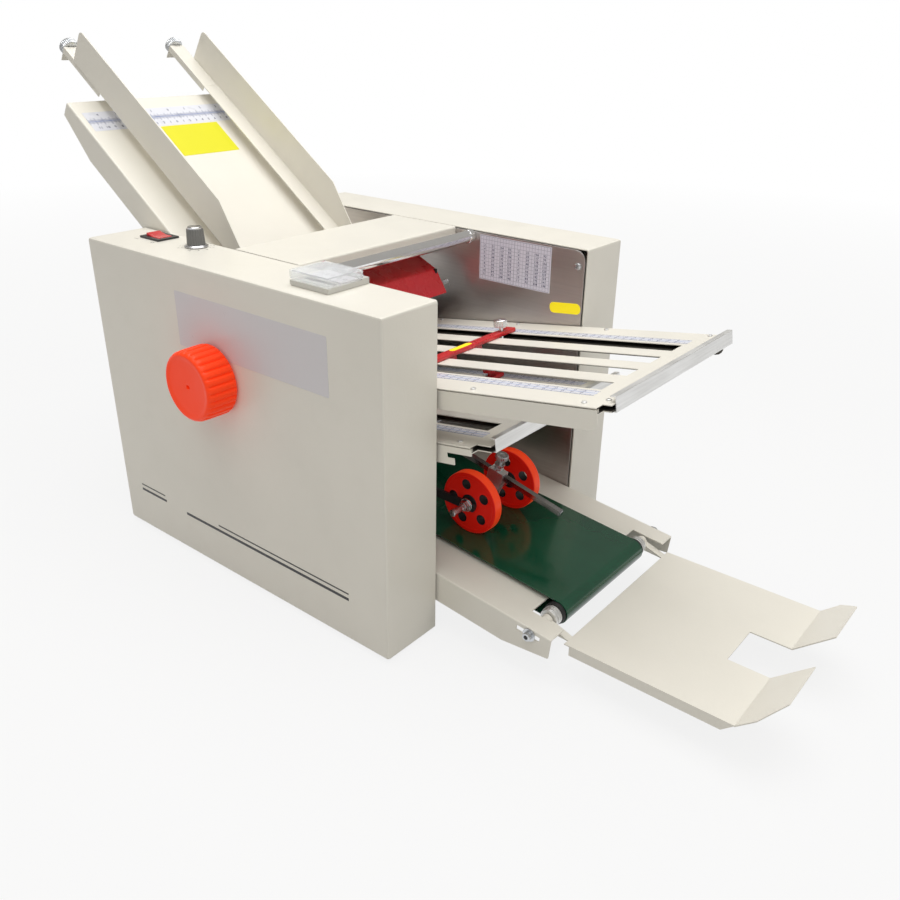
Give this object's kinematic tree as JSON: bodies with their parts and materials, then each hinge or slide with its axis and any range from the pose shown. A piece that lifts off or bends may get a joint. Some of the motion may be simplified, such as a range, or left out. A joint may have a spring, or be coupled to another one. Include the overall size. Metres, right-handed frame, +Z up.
{
  "type": "paper folding machine",
  "caption": "Desk paper folding machine with a sloping hopper, slotted fold trays, hand knob, press wheels on a rod and a belt delivery with a folding tray.",
  "frame": {"origin": "bottom centre of the bounding box, on the table", "axes": "+X from the hopper to the output tray, +Y away from the hand knob, +Z up"},
  "size_m": [1.0276, 0.4474, 0.5765],
  "materials": {
    "powder_coat": "satin",
    "brushed_steel": "brushed",
    "zinc": "satin",
    "chrome": "polished",
    "aluminium": "satin",
    "black_rubber": "matte",
    "orange_plastic": "satin",
    "red_paint": "gloss",
    "green_belt": "satin",
    "dark_plastic": "satin",
    "clear_plastic": "gloss",
    "cast_metal": "matte"
  },
  "bodies": {
    "machine_body": {"left_cover": "powder_coat", "right_cover": "powder_coat", "left_frame_plate": "brushed_steel", "right_frame_plate": "brushed_steel", "top_plate": "powder_coat", "tie_rod": "chrome", "rear_left_foot": "black_rubber", "rear_right_foot": "black_rubber", "front_left_foot": "black_rubber", "front_right_foot": "black_rubber", "hopper_plate": "powder_coat", "hopper_rail": "brushed_steel", "drive_motor": "cast_metal", "motor_belt": "black_rubber", "delivery_drive_belt": "black_rubber", "conveyor_frame": "powder_coat", "delivery_belt": "green_belt", "end_roller_axle": "zinc", "rear_fold_trays": "powder_coat", "counter_base": "dark_plastic", "switch_bezel": "dark_plastic", "power_inlet": "dark_plastic"},
    "knob_roller": {"hand_knob": "orange_plastic", "fold_roller_1": "black_rubber"},
    "roller_2": {"fold_roller_2": "black_rubber"},
    "roller_3": {"fold_roller_3": "black_rubber"},
    "roller_4": {"fold_roller_4": "black_rubber"},
    "roller_5": {"fold_roller_5": "black_rubber"},
    "roller_6": {"fold_roller_6": "black_rubber"},
    "feed": {"feed_roller": "black_rubber"},
    "motor_drive": {"motor_pulley": "brushed_steel"},
    "delivery_drive": {"drive_roller": "black_rubber"},
    "delivery_end": {"end_roller": "black_rubber"},
    "separator": {"separator_pad": "black_rubber"},
    "finger_guard": {"red_guard": "red_paint"},
    "delivery_tray": {"output_tray": "powder_coat"},
    "press_arm": {"press_rod": "chrome"},
    "press_carriage": {"press_bracket": "brushed_steel", "press_axle": "brushed_steel"},
    "near_wheel": {"near_press_wheel": "orange_plastic"},
    "far_wheel": {"far_press_wheel": "orange_plastic"},
    "clamp_screw": {"press_clamp_screw": "zinc"},
    "left_guide": {"left_paper_guide": "powder_coat", "left_guide_arm": "powder_coat"},
    "right_guide": {"right_paper_guide": "powder_coat", "right_guide_arm": "powder_coat"},
    "left_wheel_screw": {"left_guide_wheel": "zinc"},
    "right_wheel_screw": {"right_guide_wheel": "zinc"},
    "upper_tray": {"upper_tray_grid": "powder_coat", "upper_tray_base": "powder_coat", "upper_tray_channel": "aluminium"},
    "upper_stop": {"upper_stop_bar": "red_paint"},
    "upper_thumb_screw": {"upper_stop_screw": "chrome"},
    "lower_tray": {"lower_tray_grid": "powder_coat", "lower_tray_base": "powder_coat", "lower_tray_channel": "aluminium"},
    "lower_stop": {"lower_stop_bar": "red_paint"},
    "counter_cover": {"counter_lid": "clear_plastic"},
    "power_rocker": {"rocker_switch": "red_paint"},
    "speed_control": {"speed_dial": "dark_plastic"}
  },
  "joints": [
    {"name": "knob_turn", "type": "hinge", "parent": "machine_body", "child": "knob_roller", "pos_m": [-0.0887, 0.019, 0.25297], "axis": [0, 1, 0], "continuous": true},
    {"name": "roller_2_turn", "type": "hinge", "parent": "machine_body", "child": "roller_2", "pos_m": [-0.08423, 0.019, 0.22523], "axis": [0, 1, 0], "continuous": true},
    {"name": "roller_3_turn", "type": "hinge", "parent": "machine_body", "child": "roller_3", "pos_m": [-0.07976, 0.019, 0.19749], "axis": [0, 1, 0], "continuous": true},
    {"name": "roller_4_turn", "type": "hinge", "parent": "machine_body", "child": "roller_4", "pos_m": [-0.07529, 0.019, 0.16974], "axis": [0, 1, 0], "continuous": true},
    {"name": "roller_5_turn", "type": "hinge", "parent": "machine_body", "child": "roller_5", "pos_m": [-0.07082, 0.019, 0.142], "axis": [0, 1, 0], "continuous": true},
    {"name": "roller_6_turn", "type": "hinge", "parent": "machine_body", "child": "roller_6", "pos_m": [-0.06636, 0.019, 0.11426], "axis": [0, 1, 0], "continuous": true},
    {"name": "feed_turn", "type": "hinge", "parent": "machine_body", "child": "feed", "pos_m": [-0.14474, 0.019, 0.26694], "axis": [0, 1, 0], "continuous": true},
    {"name": "motor_turn", "type": "hinge", "parent": "machine_body", "child": "motor_drive", "pos_m": [-0.19526, 0.019, 0.062], "axis": [0, 1, 0], "continuous": true},
    {"name": "delivery_drive_turn", "type": "hinge", "parent": "machine_body", "child": "delivery_drive", "pos_m": [-0.04154, 0.019, 0.08473], "axis": [0, 1, 0], "continuous": true},
    {"name": "delivery_end_turn", "type": "hinge", "parent": "machine_body", "child": "delivery_end", "pos_m": [0.27174, 0.019, 0.0518], "axis": [0, 1, 0], "continuous": true},
    {"name": "separator_lift", "type": "hinge", "parent": "machine_body", "child": "separator", "pos_m": [-0.17764, 0.019, 0.32173], "axis": [0, -1, 0], "range_deg": [0, 10]},
    {"name": "guard_lift", "type": "hinge", "parent": "machine_body", "child": "finger_guard", "pos_m": [-0.07326, 0.019, 0.333], "axis": [0, -1, 0], "range_deg": [0, 35]},
    {"name": "output_tray_fold", "type": "hinge", "parent": "machine_body", "child": "delivery_tray", "pos_m": [0.27174, 0.019, 0.0518], "axis": [0, -1, 0], "range_deg": [0, 60]},
    {"name": "press_arm_lift", "type": "hinge", "parent": "machine_body", "child": "press_arm", "pos_m": [0.02844, 0.0135, 0.1629], "axis": [0, -1, 0], "range_deg": [0, 20]},
    {"name": "press_carriage_slide", "type": "slide", "parent": "press_arm", "child": "press_carriage", "axis": [0.9751, 0, -0.2215], "range_m": [-0.06, 0]},
    {"name": "near_wheel_turn", "type": "hinge", "parent": "press_carriage", "child": "near_wheel", "pos_m": [0.13339, 0.0135, 0.11662], "axis": [0, 1, 0], "continuous": true},
    {"name": "far_wheel_turn", "type": "hinge", "parent": "press_carriage", "child": "far_wheel", "pos_m": [0.13339, 0.0135, 0.11662], "axis": [0, 1, 0], "continuous": true},
    {"name": "clamp_screw_turn", "type": "hinge", "parent": "press_carriage", "child": "clamp_screw", "pos_m": [0.13824, 0.0135, 0.13795], "axis": [0.2215, 0, 0.9751], "range_deg": [-180, 180]},
    {"name": "left_guide_slide", "type": "slide", "parent": "machine_body", "child": "left_guide", "axis": [0, 1, 0], "range_m": [-0.022, 0.04]},
    {"name": "right_guide_slide", "type": "slide", "parent": "machine_body", "child": "right_guide", "axis": [0, -1, 0], "range_m": [-0.022, 0.04]},
    {"name": "left_guide_wheel_turn", "type": "hinge", "parent": "left_guide", "child": "left_wheel_screw", "pos_m": [-0.49957, -0.0591, 0.55579], "axis": [0.8151, 0, -0.5793], "range_deg": [-180, 180]},
    {"name": "right_guide_wheel_turn", "type": "hinge", "parent": "right_guide", "child": "right_wheel_screw", "pos_m": [-0.49957, 0.0971, 0.55579], "axis": [0.8151, 0, -0.5793], "range_deg": [-180, 180]},
    {"name": "upper_tray_draw", "type": "slide", "parent": "machine_body", "child": "upper_tray", "axis": [0.9873, 0, 0.159], "range_m": [0, 0.06]},
    {"name": "upper_stop_slide", "type": "slide", "parent": "upper_tray", "child": "upper_stop", "axis": [0.9873, 0, 0.159], "range_m": [-0.105, 0.215]},
    {"name": "upper_stop_screw_turn", "type": "hinge", "parent": "upper_stop", "child": "upper_thumb_screw", "pos_m": [0.08433, 0.08675, 0.26661], "axis": [-0.159, 0, 0.9873], "range_deg": [-180, 180]},
    {"name": "lower_tray_draw", "type": "slide", "parent": "machine_body", "child": "lower_tray", "axis": [0.9873, 0, 0.159], "range_m": [0, 0.06]},
    {"name": "lower_stop_slide", "type": "slide", "parent": "lower_tray", "child": "lower_stop", "axis": [0.9873, 0, 0.159], "range_m": [-0.085, 0.1]},
    {"name": "counter_lid_open", "type": "hinge", "parent": "machine_body", "child": "counter_cover", "pos_m": [0.04274, -0.1155, 0.3738], "axis": [-1, 0, 0], "range_deg": [0, 105]},
    {"name": "power_rocker_tilt", "type": "hinge", "parent": "machine_body", "child": "power_rocker", "pos_m": [-0.24376, -0.132, 0.3688], "axis": [0, -1, 0], "range_deg": [0, 14]},
    {"name": "speed_turn", "type": "hinge", "parent": "machine_body", "child": "speed_control", "pos_m": [-0.17656, -0.1309, 0.3688], "axis": [0, 0, 1], "range_deg": [-150, 150]}
  ],
  "couplings": [
    {"joint": "roller_2_turn", "follows": "knob_turn", "ratio": -1},
    {"joint": "roller_3_turn", "follows": "knob_turn", "ratio": 1},
    {"joint": "roller_4_turn", "follows": "knob_turn", "ratio": -1},
    {"joint": "roller_5_turn", "follows": "knob_turn", "ratio": 1},
    {"joint": "roller_6_turn", "follows": "knob_turn", "ratio": -1},
    {"joint": "feed_turn", "follows": "knob_turn", "ratio": -0.32143},
    {"joint": "motor_turn", "follows": "knob_turn", "ratio": 2},
    {"joint": "delivery_drive_turn", "follows": "knob_turn", "ratio": -0.33333},
    {"joint": "delivery_end_turn", "follows": "knob_turn", "ratio": -0.33333}
  ]
}
